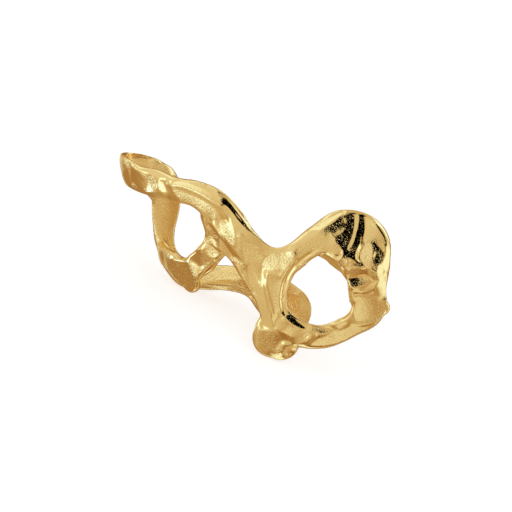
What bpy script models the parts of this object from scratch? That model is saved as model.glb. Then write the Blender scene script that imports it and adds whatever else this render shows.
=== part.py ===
"""Cast ear cuff: one pierced, molten-looking C of solid metal, laid on its side as it rests on a table.

The metal is drawn as flat strands in the frame of the front view, in millimetres: across to the right, up, and
proud towards the viewer. The strands are lofted, fused by a voxel remesh and smoothed as a casting is. Ridges,
folds and dents are then raised and sunk on the front, a flat pad is planished where the back arm bears on the
ear, and the cuff is turned until its three feet stand on the table: the bottom lobe, the arm and the paddle.
"""

import math
from collections import namedtuple

import bpy
import numpy as np
from mathutils import Matrix, Vector

MM = 0.001
NAME = "ear_cuff"

# Wall thicknesses of the metal, in millimetres
FRONT_WALL = 0.95
BACK_WALL = 0.95
PADDLE_WALL = 1.15
LOBE_WALL = 1.15
LIP_WALL = 1.6

# How a strand's section is drawn: a superellipse of this power, with this many points, this far apart
EDGE_ROUNDING = 2.6
SECTION_POINTS = 20
SECTION_SPACING = 0.3

# The sections that close a strand's end, in degrees round a half circle from its last full section
END_TURNS = (22, 42, 58, 72, 82)

# How the strands are fused, smoothed and thinned
VOXEL = 0.15
SMOOTHING_FACTOR = 0.5
SMOOTHING_PASSES = 5
TRIANGLES = 8600

# The planished pad inside the paddle: its centre, its half sizes, the way it faces and how thick its cutter is
PAD_CENTRE = (3.0, -5.1, -6.33)
PAD_HALF = (1.25, 1.0)
PAD_YAW = -15.0
PAD_CUTTER = 1.0

# The nominal pose at rest, in degrees: how far the front leans back from the viewer and rolls clockwise,
# and how often it is corrected from the lowest points round the feet
REST_LEAN = 24.4
REST_ROLL = 23.5
FOOT_ROUNDS = 4

# Relief is raised only on metal this far forward, and fades as the surface turns away from the viewer.
# A dent's floor is the flatter the higher its power.
FRONT_LIMIT = -5.5
FRONT_FADE = 1.6
DENT_POWER = 3.0

# The plate's colour and roughness
GOLD = (0.83, 0.60, 0.27, 1.0)
GOLD_ROUGHNESS = 0.22

Station = namedtuple("Station", "across up proud half_width wall yaw pitch")
Stroke = namedtuple("Stroke", "half_width height points")
Dent = namedtuple("Dent", "across up long_radius short_radius turn depth")
Foot = namedtuple("Foot", "across up proud reach")

# yaw turns the outer face about the vertical: 0 faces the viewer, -90 the left, -180 the back.
# pitch tips the outer face up.
UPPER_BAND = (
    Station(-8.0, 6.6, -1.7, 1.22, FRONT_WALL, -15, 5),
    Station(-6.1, 6.25, -1.1, 1.35, FRONT_WALL, -10, 10),
    Station(-4.4, 5.3, -0.7, 1.58, FRONT_WALL, -5, 15),
    Station(-3.0, 3.8, -0.4, 1.68, FRONT_WALL, 0, 15),
    Station(-1.6, 1.85, -0.2, 1.60, FRONT_WALL, 0, 15),
    Station(0.0, 0.3, 0.0, 1.45, FRONT_WALL, 0, 10),
    Station(1.9, -0.35, 0.0, 1.20, FRONT_WALL, 0, 5),
    Station(3.9, 0.15, -0.1, 1.25, FRONT_WALL, 5, 10),
    Station(6.0, 1.6, -0.6, 1.45, FRONT_WALL, 5, 20),
)
BEND = (
    Station(-6.6, 6.3, -1.3, 1.20, FRONT_WALL, -10, 5),
    Station(-8.5, 6.85, -1.8, 1.22, FRONT_WALL, -20, 0),
    Station(-10.2, 7.35, -2.6, 1.42, FRONT_WALL, -35, 0),
    Station(-11.8, 8.0, -3.6, 1.60, FRONT_WALL, -55, -5),
    Station(-12.85, 8.65, -4.8, 1.68, FRONT_WALL, -85, -14),
    Station(-12.75, 8.9, -6.0, 1.60, BACK_WALL, -115, -8),
    Station(-11.6, 8.65, -7.0, 1.65, BACK_WALL, -145, 0),
    Station(-10.35, 8.0, -7.6, 1.85, BACK_WALL, -160, 0),
    Station(-9.3, 6.8, -7.9, 1.75, BACK_WALL, -165, 0),
)
STRAP = (
    Station(-10.4, 8.7, -7.4, 1.15, BACK_WALL, -160, 0),
    Station(-9.5, 7.7, -7.7, 1.65, BACK_WALL, -160, 0),
    Station(-9.1, 6.0, -7.9, 1.60, BACK_WALL, -160, 0),
    Station(-9.2, 4.2, -8.0, 1.45, BACK_WALL, -158, 0),
    Station(-9.3, 2.4, -8.0, 1.15, BACK_WALL, -158, 0),
    Station(-9.15, 0.9, -7.9, 1.05, BACK_WALL, -165, 0),
    Station(-8.45, -0.6, -8.0, 1.10, BACK_WALL, -170, -5),
    Station(-6.9, -1.8, -8.1, 1.50, BACK_WALL, -175, -15),
    Station(-5.0, -2.15, -8.1, 1.35, BACK_WALL, -180, -20),
    Station(-2.6, -2.25, -8.0, 1.35, BACK_WALL, -180, -20),
    Station(-0.3, -2.8, -7.7, 1.50, BACK_WALL, -185, -15),
    Station(1.5, -3.9, -7.2, 2.15, PADDLE_WALL, -190, -5),
    Station(2.9, -5.3, -6.8, 2.50, PADDLE_WALL, -195, 0),
)
LEFT_LOBE = (
    Station(-9.15, 0.8, -7.6, 1.00, BACK_WALL, -165, 0),
    Station(-9.45, 0.2, -6.3, 1.05, BACK_WALL, -105, 0),
    Station(-8.6, -0.45, -4.9, 1.15, FRONT_WALL, -70, 0),
    Station(-7.3, -1.35, -3.5, 1.35, FRONT_WALL, -40, 0),
    Station(-6.4, -1.2, -2.6, 1.35, FRONT_WALL, -20, 0),
    Station(-5.25, -0.45, -1.9, 1.38, FRONT_WALL, -10, -5),
    Station(-4.25, 0.7, -1.4, 1.45, FRONT_WALL, -5, 0),
    Station(-3.1, 2.4, -0.9, 1.40, FRONT_WALL, 0, 5),
)
LOBE_TIP = (
    Station(-7.7, -1.3, -3.7, 1.00, FRONT_WALL, -40, 0),
    Station(-6.85, -2.2, -3.2, 1.05, FRONT_WALL, -30, 0),
    Station(-6.4, -2.8, -3.0, 0.90, FRONT_WALL, -25, 0),
)
STEM = (
    Station(-4.6, 4.0, -0.9, 1.00, FRONT_WALL, -5, 5),
    Station(-3.4, 2.4, -0.7, 1.60, FRONT_WALL, -5, 5),
    Station(-1.8, 0.45, -0.4, 1.48, FRONT_WALL, 0, 0),
    Station(-0.3, -1.4, -0.1, 1.48, FRONT_WALL, 0, 0),
    Station(0.9, -3.2, 0.0, 1.50, FRONT_WALL, 0, 0),
    Station(1.55, -5.7, 0.0, 1.15, FRONT_WALL, -5, 0),
    Station(1.2, -7.3, -0.2, 1.38, FRONT_WALL, -10, -5),
    Station(1.35, -8.15, -0.3, 1.85, FRONT_WALL, -10, -5),
    Station(2.55, -8.75, -0.5, 1.75, LOBE_WALL, -5, -10),
)
RING = (
    Station(6.2, 1.65, -0.7, 1.55, FRONT_WALL, 5, 20),
    Station(8.6, 2.4, -1.1, 2.45, FRONT_WALL, 12, 22),
    Station(10.5, 1.35, -1.3, 3.15, FRONT_WALL, 20, 18),
    Station(11.1, -0.6, -1.2, 2.68, FRONT_WALL, 25, 12),
    Station(11.1, -3.2, -1.1, 2.15, FRONT_WALL, 25, 5),
    Station(11.1, -5.3, -1.2, 1.98, FRONT_WALL, 20, -5),
    Station(9.5, -6.9, -0.8, 1.28, FRONT_WALL, 15, -10),
    Station(6.75, -8.05, -0.4, 1.22, FRONT_WALL, 5, -10),
    Station(4.05, -7.65, -0.1, 1.35, FRONT_WALL, 0, -5),
    Station(2.1, -6.1, 0.0, 1.40, FRONT_WALL, 0, 0),
    Station(1.5, -3.6, 0.1, 1.62, FRONT_WALL, -5, 0),
    Station(2.4, -1.25, 0.1, 1.60, FRONT_WALL, 0, 0),
    Station(4.0, 0.0, -0.1, 1.35, FRONT_WALL, 0, 10),
)
INNER_LIP = (
    Station(6.3, 0.95, -0.9, 0.95, FRONT_WALL, 10, 20),
    Station(7.95, 0.55, -1.1, 1.55, LIP_WALL, 15, 22),
    Station(9.35, -0.75, -1.3, 1.45, LIP_WALL, 20, 20),
    Station(10.0, -2.4, -1.3, 0.90, FRONT_WALL, 25, 10),
)
CORNER = (
    Station(11.0, -4.8, -1.2, 1.20, FRONT_WALL, 20, -5),
    Station(12.2, -5.3, -1.8, 1.00, FRONT_WALL, 30, -5),
    Station(12.9, -5.3, -2.2, 0.60, FRONT_WALL, 35, -5),
)

# Ridges and grooves drawn along lines on the front: across and up of each point
STROKES = (
    Stroke(0.30, 0.20, ((-8.8, 7.5), (-6.6, 6.8), (-5.1, 6.0), (-3.4, 5.0), (-2.4, 3.6), (-1.6, 2.1), (-1.1, 0.6))),
    Stroke(0.50, -0.16, ((-8.2, 6.5), (-6.4, 5.9), (-5.0, 5.0), (-4.1, 4.2))),
    Stroke(0.35, 0.16, ((-4.6, 4.0), (-3.9, 2.4), (-3.6, 0.4))),
    Stroke(0.35, -0.14, ((-3.6, 3.6), (-3.0, 2.2), (-2.6, 0.8))),
    Stroke(0.28, 0.20, ((-3.6, -0.1), (-4.6, -0.9), (-5.3, -1.5), (-5.8, -2.0), (-5.8, -2.8))),
    Stroke(0.28, 0.20, ((1.0, -2.9), (1.2, -4.1), (1.6, -5.9))),
    Stroke(0.40, -0.36, ((1.9, -6.9), (2.9, -8.2), (4.2, -9.0))),
    Stroke(0.32, 0.22, ((10.6, 4.0), (10.1, 1.8), (9.7, -0.2))),
    Stroke(0.32, 0.22, ((9.4, -3.5), (10.8, -3.7), (12.2, -2.9))),
    Stroke(0.30, -0.14, ((8.9, -6.7), (11.9, -6.9), (13.4, -5.4))),
    Stroke(0.30, 0.12, ((-13.4, 9.8), (-12.1, 9.2), (-11.4, 8.9), (-10.6, 8.6), (-9.6, 8.2))),
    Stroke(0.26, 0.12, ((5.8, 0.15), (4.6, -0.7), (3.6, -1.9), (2.9, -3.2), (2.6, -4.7), (2.8, -5.7))),
    Stroke(0.26, 0.12, ((9.0, -1.6), (9.4, -2.9), (9.8, -4.4), (9.8, -5.5), (9.2, -6.2), (7.6, -6.9))),
)
DENTS = (
    Dent(8.0, 2.1, 1.7, 1.0, 20, 0.34),
    Dent(11.5, 0.6, 1.6, 0.9, 75, 0.30),
    Dent(10.8, -2.3, 1.25, 0.75, 10, 0.42),
    Dent(3.4, -9.4, 0.75, 0.45, 30, 0.30),
    Dent(1.6, -0.6, 0.80, 0.55, 60, -0.14),
    Dent(3.4, -0.2, 0.70, 0.55, 100, -0.14),
)

# Where the cuff stands: the bottom lobe, the back arm's corner and the paddle's foot
FEET = (
    Foot(1.1, -10.0, -0.8, 1.5),
    Foot(-7.3, -3.1, -7.9, 1.5),
    Foot(1.9, -7.5, -7.1, 1.5),
)

STRANDS = (
    ("upper_band", UPPER_BAND, False),
    ("bend", BEND, False),
    ("strap", STRAP, False),
    ("left_lobe", LEFT_LOBE, False),
    ("lobe_tip", LOBE_TIP, False),
    ("stem", STEM, False),
    ("ring", RING, True),
    ("inner_lip", INNER_LIP, False),
    ("corner", CORNER, False),
)


def clear_scene():
    """Removes whatever the file holds."""
    for obj in list(bpy.data.objects):
        bpy.data.objects.remove(obj, do_unlink=True)


def smooth_path(stations, closed):
    """Reads a strand's stations at even spacing, from a Catmull-Rom curve through all their columns."""
    knots = np.array(stations, float)
    count = len(knots)
    spans = count if closed else count - 1
    if closed:
        padded = np.vstack([knots[-1], knots, knots[:2]])
    else:
        padded = np.vstack([2 * knots[0] - knots[1], knots, 2 * knots[-1] - knots[-2]])
    rows = []
    for span in range(spans):
        before, start, end, after = padded[span : span + 4]
        steps = max(2, round(np.linalg.norm((end - start)[:3]) / SECTION_SPACING))
        t = np.arange(steps)[:, None] / steps
        rows.append(
            start
            + 0.5 * t * (end - before)
            + t**2 * (before - 2.5 * start + 2 * end - 0.5 * after)
            + t**3 * (1.5 * (start - end) + 0.5 * (after - before))
        )
    if not closed:
        rows.append(knots[-1:])
    return np.vstack(rows)


def facing(yaw, pitch):
    """Unit vectors of the outer face for arrays of yaw and pitch in degrees."""
    yaw, pitch = np.radians(yaw), np.radians(pitch)
    return np.stack([np.sin(yaw) * np.cos(pitch), np.sin(pitch), np.cos(yaw) * np.cos(pitch)], axis=-1)


def unit(rows):
    """Each row divided by its length."""
    return rows / np.linalg.norm(rows, axis=-1, keepdims=True)


def round_end(last, inward):
    """Sections beyond a strand's end that close it as a half circle of its own width."""
    outward = unit(last[:3] - inward[:3])
    added = []
    for turn in np.radians(END_TURNS):
        row = last.copy()
        row[:3] += outward * last[3] * math.sin(turn)
        row[3] *= math.cos(turn)
        row[4] *= math.sqrt(math.cos(turn))
        added.append(row)
    return added


def strand(name, stations, closed):
    """A closed loft: a superellipse of the strand's width and wall, carried along its smoothed path."""
    path = smooth_path(stations, closed)
    if closed:
        centre = path[:, :3]
        along = unit(np.roll(centre, -1, axis=0) - np.roll(centre, 1, axis=0))
    else:
        path = np.vstack([round_end(path[0], path[1])[::-1], path, round_end(path[-1], path[-2])])
        centre = path[:, :3]
        along = unit(np.gradient(centre, axis=0))
    outer = facing(path[:, 5], path[:, 6])
    outer = unit(outer - (outer * along).sum(axis=1, keepdims=True) * along)
    side = np.cross(along, outer)
    turn = np.linspace(0, 2 * math.pi, SECTION_POINTS, endpoint=False)
    power = 2 / EDGE_ROUNDING
    wide = np.sign(np.cos(turn)) * np.abs(np.cos(turn)) ** power
    thick = np.sign(np.sin(turn)) * np.abs(np.sin(turn)) ** power
    rings = (
        centre[:, None]
        + side[:, None] * (path[:, 3, None] * wide)[:, :, None]
        + outer[:, None] * (path[:, 4, None] / 2 * thick)[:, :, None]
    )
    index = np.arange(len(rings) * SECTION_POINTS).reshape(-1, SECTION_POINTS)
    onward = np.roll(index, -1, axis=0) if closed else index[1:]
    here = index if closed else index[:-1]
    quads = np.stack([here, np.roll(here, -1, axis=1), np.roll(onward, -1, axis=1), onward], axis=-1)
    faces = quads.reshape(-1, 4).tolist()
    if not closed:
        faces += [index[0][::-1].tolist(), index[-1].tolist()]
    mesh = bpy.data.meshes.new(name)
    mesh.from_pydata((rings.reshape(-1, 3) * MM).tolist(), [], faces)
    return mesh


def evaluated_mesh(obj):
    """A new mesh of the object as its modifiers leave it."""
    graph = bpy.context.evaluated_depsgraph_get()
    return bpy.data.meshes.new_from_object(obj.evaluated_get(graph), depsgraph=graph)


def fused(meshes):
    """One closed surface round all the strands: joined, remeshed by voxels and smoothed."""
    points, faces, start = [], [], 0
    for mesh in meshes:
        points += [tuple(v.co) for v in mesh.vertices]
        faces += [[start + i for i in polygon.vertices] for polygon in mesh.polygons]
        start += len(mesh.vertices)
        bpy.data.meshes.remove(mesh)
    joined = bpy.data.meshes.new("strands")
    joined.from_pydata(points, [], faces)
    body = bpy.data.objects.new("strands", joined)
    bpy.context.scene.collection.objects.link(body)
    remesh = body.modifiers.new("fuse", "REMESH")
    remesh.mode = "VOXEL"
    remesh.voxel_size = VOXEL * MM
    smooth = body.modifiers.new("melt", "SMOOTH")
    smooth.factor = SMOOTHING_FACTOR
    smooth.iterations = SMOOTHING_PASSES
    mesh = evaluated_mesh(body)
    bpy.data.objects.remove(body, do_unlink=True)
    bpy.data.meshes.remove(joined)
    mesh.name = NAME
    return mesh


def points_of(mesh):
    """The mesh's points as rows of across, up and proud, in millimetres."""
    flat = np.empty(len(mesh.vertices) * 3)
    mesh.vertices.foreach_get("co", flat)
    return flat.reshape(-1, 3) / MM


def distance_to_line(spots, line):
    """How far each spot of the front view lies from the nearest of a line's straight pieces."""
    line = np.array(line)
    nearest = np.full(len(spots), np.inf)
    for start, end in zip(line[:-1], line[1:]):
        piece = end - start
        share = np.clip((spots - start) @ piece / (piece @ piece), 0, 1)
        nearest = np.minimum(nearest, np.linalg.norm(spots - start - share[:, None] * piece, axis=1))
    return nearest


def raise_relief(mesh):
    """Moves the front's surface along its normals: bell-shaped ridges and grooves, and elliptical dents."""
    points = points_of(mesh)
    flat = np.empty(len(mesh.vertices) * 3)
    mesh.vertices.foreach_get("normal", flat)
    normals = flat.reshape(-1, 3)
    spots = points[:, :2]
    lift = np.zeros(len(points))
    for stroke in STROKES:
        lift += stroke.height * np.exp(-((distance_to_line(spots, stroke.points) / stroke.half_width) ** 2))
    for dent in DENTS:
        away = spots - (dent.across, dent.up)
        turn = math.radians(dent.turn)
        along = away @ (math.cos(turn), math.sin(turn)) / dent.long_radius
        beside = away @ (-math.sin(turn), math.cos(turn)) / dent.short_radius
        lift -= dent.depth * np.exp(-(np.hypot(along, beside) ** DENT_POWER))
    lift *= np.clip(normals[:, 2] * FRONT_FADE, 0, 1) * (points[:, 2] > FRONT_LIMIT)
    points += normals * lift[:, None]
    mesh.vertices.foreach_set("co", (points * MM).ravel())
    mesh.update()


def rest_pose(points):
    """Turns and moves the front view's frame to the table's: X right, Y away from the viewer, Z up.

    The nominal pose is corrected until the lowest points round the three feet lie in one level plane, and the
    box round the cuff then has its bottom centre at the origin.
    """
    lean, roll = math.radians(REST_LEAN), math.radians(REST_ROLL)
    upward = Vector((math.tan(roll), 1, math.tan(lean))).normalized()
    for _ in range(FOOT_ROUNDS):
        heights = points @ np.array(upward)
        soles = []
        for foot in FEET:
            near = np.linalg.norm(points - foot[:3], axis=1) < foot.reach
            soles.append(Vector(points[near][np.argmin(heights[near])]))
        upward = (soles[2] - soles[0]).cross(soles[1] - soles[0]).normalized()
    right = Vector((1, 0, 0))
    right = (right - right.dot(upward) * upward).normalized()
    turn = Matrix((right, upward.cross(right), upward))
    turned = points @ np.array(turn).T
    low, high = turned.min(axis=0), turned.max(axis=0)
    base = Vector(((low[0] + high[0]) / 2, (low[1] + high[1]) / 2, low[2]))
    return Matrix.Translation(-base * MM) @ turn.to_4x4()


def gold():
    """Polished yellow gold plate."""
    material = bpy.data.materials.new("gold")
    material.use_nodes = True
    shader = material.node_tree.nodes["Principled BSDF"]
    shader.inputs["Base Color"].default_value = GOLD
    shader.inputs["Metallic"].default_value = 1.0
    shader.inputs["Roughness"].default_value = GOLD_ROUGHNESS
    return material


def pad_cutter():
    """The block that leaves the pad: its far face lies on the pad and the rest stands in front of it."""
    bpy.ops.mesh.primitive_cube_add(size=1)
    cutter = bpy.context.object
    cutter.name = "pad_cutter"
    cutter.data.transform(Matrix.Translation((0, 0, 0.5)))
    cutter.data.transform(Matrix.Diagonal((2 * PAD_HALF[0] * MM, 2 * PAD_HALF[1] * MM, PAD_CUTTER * MM, 1)))
    cutter.data.transform(Matrix.Rotation(math.radians(PAD_YAW), 4, "Y"))
    cutter.data.transform(Matrix.Translation(Vector(PAD_CENTRE) * MM))
    cutter.hide_render = True
    cutter.display_type = "WIRE"
    for owner in list(cutter.users_collection):
        owner.objects.unlink(cutter)
    collection_named("cutters").objects.link(cutter)
    return cutter


def collection_named(name):
    """A new collection in the scene."""
    collection = bpy.data.collections.new(name)
    bpy.context.scene.collection.children.link(collection)
    return collection


def main():
    """Builds the cuff and returns its object."""
    clear_scene()
    mesh = fused([strand(*row) for row in STRANDS])
    raise_relief(mesh)
    cuff = bpy.data.objects.new(NAME, mesh)
    collection_named("ear cuff").objects.link(cuff)
    thin = cuff.modifiers.new("facets", "DECIMATE")
    thin.ratio = TRIANGLES / (2 * len(mesh.polygons))
    bpy.context.view_layer.update()
    thinned = evaluated_mesh(cuff)
    pose = rest_pose(points_of(thinned))
    bpy.data.meshes.remove(thinned)
    cutter = pad_cutter()
    cut = cuff.modifiers.new("pad", "BOOLEAN")
    cut.operation = "DIFFERENCE"
    cut.object = cutter
    cuff.matrix_world = pose
    cutter.matrix_world = pose
    cuff.data.materials.append(gold())
    return cuff


main()
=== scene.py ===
import math
from collections import namedtuple

import bpy
import numpy as np
from mathutils import Matrix, Vector


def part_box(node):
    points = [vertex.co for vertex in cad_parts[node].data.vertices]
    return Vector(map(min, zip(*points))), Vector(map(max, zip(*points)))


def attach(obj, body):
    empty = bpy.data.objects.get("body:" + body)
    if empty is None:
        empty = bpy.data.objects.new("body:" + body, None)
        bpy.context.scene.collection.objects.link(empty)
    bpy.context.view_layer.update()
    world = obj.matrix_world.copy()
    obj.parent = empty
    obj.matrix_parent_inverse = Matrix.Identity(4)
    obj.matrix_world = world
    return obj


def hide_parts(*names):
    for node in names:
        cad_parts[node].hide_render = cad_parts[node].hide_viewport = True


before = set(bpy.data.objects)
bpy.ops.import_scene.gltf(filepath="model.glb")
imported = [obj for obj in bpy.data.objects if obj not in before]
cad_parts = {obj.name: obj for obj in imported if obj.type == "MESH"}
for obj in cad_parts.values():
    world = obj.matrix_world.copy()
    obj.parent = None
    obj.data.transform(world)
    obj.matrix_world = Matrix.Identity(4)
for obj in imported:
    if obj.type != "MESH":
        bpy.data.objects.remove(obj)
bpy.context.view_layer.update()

bl_info = {
    "name": "Ear cuff",
    "version": (1, 0, 0),
    "blender": (4, 5, 0),
    "location": "View3D > Sidebar > Ear cuff",
    "description": "Makes the fine casting of the ear cuff, its gold finish and a plain studio",
    "category": "Object",
}

NODE = "ear_cuff"
MM = 0.001

# The front view's frame, in millimetres: across to the right, up, and proud towards the viewer.
# At rest the front leans back from the viewer and rolls clockwise by these angles.
REST_LEAN = 24.4
REST_ROLL = 23.5

# Wall thicknesses of the metal
FRONT_WALL = 0.95
BACK_WALL = 0.95
PADDLE_WALL = 1.15
LOBE_WALL = 1.15
LIP_WALL = 1.6

# How a strand is drawn: its section is a superellipse of this power with this many points, its sections
# lie this far apart, and these angles of a half circle close its ends
EDGE_ROUNDING = 2.6
SECTION_POINTS = 32
SECTION_SPACING = 0.15
END_TURNS = (15, 30, 44, 57, 68, 77, 84)

# Relief of the front stops behind this depth, and fades where the surface turns from the viewer
FRONT_LIMIT = -5.5
FRONT_FADE = 1.6

# The yaw of the planished pad on the paddle, as in the solid
PAD_YAW = -15.0

# The columns of the tables: lengths in millimetres, angles in degrees, yaw to the right and pitch upwards
Station = namedtuple("Station", "across up proud half_width wall yaw pitch")
Joint = namedtuple("Joint", "across up proud radius")
Flat = namedtuple("Flat", "yaw pitch grain outline")
Fold = namedtuple("Fold", "left right height points")
Dent = namedtuple("Dent", "across up long_radius short_radius turn depth")
Hollow = namedtuple("Hollow", "width depth seed")
Wave = namedtuple("Wave", "length height seed")
Panel = namedtuple("Panel", "name yaw pitch inner outer light")
Tint = namedtuple("Tint", "gain power")

# Strands of metal: each station is a place on a strand's middle line, with its half width, its wall and
# the way that its outer face looks

UPPER_BAND = (
    Station(-8.0, 6.6, -1.7, 1.22, FRONT_WALL, -15, 5),
    Station(-6.1, 6.25, -1.1, 1.35, FRONT_WALL, -10, 10),
    Station(-4.4, 5.3, -0.7, 1.58, FRONT_WALL, -5, 15),
    Station(-3.0, 3.8, -0.4, 1.68, FRONT_WALL, 0, 15),
    Station(-1.6, 1.85, -0.2, 1.60, FRONT_WALL, 0, 15),
    Station(0.0, 0.3, 0.0, 1.45, FRONT_WALL, 0, 10),
    Station(1.9, -0.35, 0.0, 1.20, FRONT_WALL, 0, 5),
    Station(3.9, 0.15, -0.1, 1.25, FRONT_WALL, 5, 10),
    Station(6.0, 1.6, -0.6, 1.45, FRONT_WALL, 5, 20),
)
BEND = (
    Station(-6.6, 6.3, -1.3, 1.20, FRONT_WALL, -10, 5),
    Station(-8.5, 6.85, -1.8, 1.22, FRONT_WALL, -20, 0),
    Station(-10.2, 7.35, -2.6, 1.42, FRONT_WALL, -35, 0),
    Station(-11.8, 7.8, -3.6, 1.36, FRONT_WALL, -55, -5),
    Station(-13.05, 8.6, -4.8, 1.70, FRONT_WALL, -85, -10),
    Station(-12.9, 8.9, -6.0, 1.60, BACK_WALL, -115, -8),
    Station(-11.6, 8.65, -7.0, 1.65, BACK_WALL, -145, 0),
    Station(-10.35, 8.0, -7.6, 1.85, BACK_WALL, -160, 0),
    Station(-9.3, 6.8, -7.9, 1.75, BACK_WALL, -165, 0),
)
STRAP = (
    Station(-10.4, 8.7, -7.4, 1.15, BACK_WALL, -160, 0),
    Station(-9.5, 7.7, -7.7, 1.65, BACK_WALL, -160, 0),
    Station(-9.1, 6.0, -7.9, 1.60, BACK_WALL, -160, 0),
    Station(-9.2, 4.2, -8.0, 1.45, BACK_WALL, -158, 0),
    Station(-9.3, 2.4, -8.0, 1.15, BACK_WALL, -158, 0),
    Station(-9.15, 0.9, -7.9, 1.05, BACK_WALL, -165, 0),
    Station(-8.45, -0.6, -8.0, 1.10, BACK_WALL, -170, -5),
    Station(-6.9, -1.8, -8.1, 1.50, BACK_WALL, -175, -15),
    Station(-5.0, -2.15, -8.1, 1.35, BACK_WALL, -180, -20),
    Station(-2.6, -2.25, -8.0, 1.35, BACK_WALL, -180, -20),
    Station(-0.3, -2.8, -7.7, 1.50, BACK_WALL, -185, -15),
    Station(1.5, -3.9, -7.2, 2.15, PADDLE_WALL, -190, -5),
    Station(3.2, -5.45, -6.8, 2.50, PADDLE_WALL, -195, 0),
)
LEFT_LOBE = (
    Station(-9.15, 0.8, -7.6, 1.00, BACK_WALL, -165, 0),
    Station(-9.45, 0.2, -6.3, 1.05, BACK_WALL, -105, 0),
    Station(-8.6, -0.45, -4.9, 1.15, FRONT_WALL, -70, 0),
    Station(-7.3, -1.35, -3.5, 1.35, FRONT_WALL, -40, 0),
    Station(-6.4, -1.2, -2.6, 1.35, FRONT_WALL, -20, 0),
    Station(-5.25, -0.45, -1.9, 1.38, FRONT_WALL, -10, -5),
    Station(-4.25, 0.7, -1.4, 1.45, FRONT_WALL, -5, 0),
    Station(-3.1, 2.4, -0.9, 1.40, FRONT_WALL, 0, 5),
)
LOBE_TIP = (
    Station(-7.7, -1.3, -3.7, 1.00, FRONT_WALL, -40, 0),
    Station(-6.85, -2.2, -3.2, 1.05, FRONT_WALL, -30, 0),
    Station(-6.4, -2.8, -3.0, 0.90, FRONT_WALL, -25, 0),
)
STEM = (
    Station(-4.6, 4.0, -0.9, 1.00, FRONT_WALL, -5, 5),
    Station(-3.4, 2.4, -0.7, 1.60, FRONT_WALL, -5, 5),
    Station(-1.7, 0.55, -0.4, 1.36, FRONT_WALL, 0, 0),
    Station(-0.3, -1.4, -0.1, 1.48, FRONT_WALL, 0, 0),
    Station(0.9, -3.2, 0.0, 1.50, FRONT_WALL, 0, 0),
    Station(1.55, -5.7, 0.0, 1.15, FRONT_WALL, -5, 0),
    Station(1.2, -7.3, -0.2, 1.38, FRONT_WALL, -10, -5),
    Station(1.35, -8.15, -0.3, 1.85, FRONT_WALL, -10, -5),
    Station(2.55, -8.75, -0.5, 1.75, LOBE_WALL, -5, -10),
)
RING = (
    Station(6.2, 1.65, -0.7, 1.55, FRONT_WALL, 5, 20),
    Station(8.6, 2.4, -1.1, 2.45, FRONT_WALL, 12, 22),
    Station(10.5, 1.35, -1.3, 3.15, FRONT_WALL, 20, 18),
    Station(11.1, -0.6, -1.2, 2.68, FRONT_WALL, 25, 12),
    Station(11.1, -3.2, -1.1, 2.15, FRONT_WALL, 25, 5),
    Station(11.1, -5.3, -1.2, 1.98, FRONT_WALL, 20, -5),
    Station(9.5, -6.9, -0.8, 1.28, FRONT_WALL, 15, -10),
    Station(6.75, -8.05, -0.4, 1.22, FRONT_WALL, 5, -10),
    Station(4.05, -7.65, -0.1, 1.35, FRONT_WALL, 0, -5),
    Station(2.1, -6.1, 0.0, 1.40, FRONT_WALL, 0, 0),
    Station(1.5, -3.6, 0.1, 1.62, FRONT_WALL, -5, 0),
    Station(2.4, -1.25, 0.1, 1.60, FRONT_WALL, 0, 0),
    Station(4.0, 0.0, -0.1, 1.35, FRONT_WALL, 0, 10),
)
INNER_LIP = (
    Station(6.3, 0.95, -0.9, 0.95, FRONT_WALL, 10, 20),
    Station(7.95, 0.55, -1.1, 1.55, LIP_WALL, 15, 22),
    Station(9.35, -0.75, -1.3, 1.45, LIP_WALL, 20, 20),
    Station(10.0, -2.4, -1.3, 0.90, FRONT_WALL, 25, 10),
)
CORNER = (
    Station(11.0, -4.8, -1.2, 1.20, FRONT_WALL, 20, -5),
    Station(12.2, -5.3, -1.8, 1.00, FRONT_WALL, 30, -5),
    Station(12.75, -5.2, -2.1, 0.75, FRONT_WALL, 35, -5),
)
HOLE_WEB = (
    Station(-4.95, 3.5, -0.85, 0.45, FRONT_WALL, 0, 5),
    Station(-4.72, 2.5, -0.95, 0.50, FRONT_WALL, 0, 5),
    Station(-4.85, 1.5, -1.1, 0.50, FRONT_WALL, 0, 0),
    Station(-5.4, 0.7, -1.5, 0.45, FRONT_WALL, -5, 0),
)
STRANDS = (
    (UPPER_BAND, False),
    (BEND, False),
    (STRAP, False),
    (LEFT_LOBE, False),
    (LOBE_TIP, False),
    (STEM, False),
    (RING, True),
    (INNER_LIP, False),
    (CORNER, False),
    (HOLE_WEB, False),
)

# Joints where the metal ran together, and how wide each is
JOINTS = (
    Joint(-9.3, 0.6, -7.2, 1.7),
    Joint(-7.4, -1.1, -3.3, 1.7),
    Joint(-5.2, 1.9, -1.2, 1.3),
    Joint(-4.0, -0.2, -1.2, 1.2),
    Joint(4.9, 0.1, -0.2, 1.1),
    Joint(9.0, -0.9, -1.3, 1.2),
    Joint(9.4, -5.9, -1.0, 1.2),
    Joint(1.8, -6.8, -0.1, 1.3),
    Joint(-8.6, 6.9, -1.8, 1.2),
    Joint(12.4, -5.3, -1.9, 0.8),
)

# How often the joints are blurred, and how steeply the blur fades towards a joint's edge
JOINT_ROUNDS = 50
JOINT_FADE = 1.5

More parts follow.
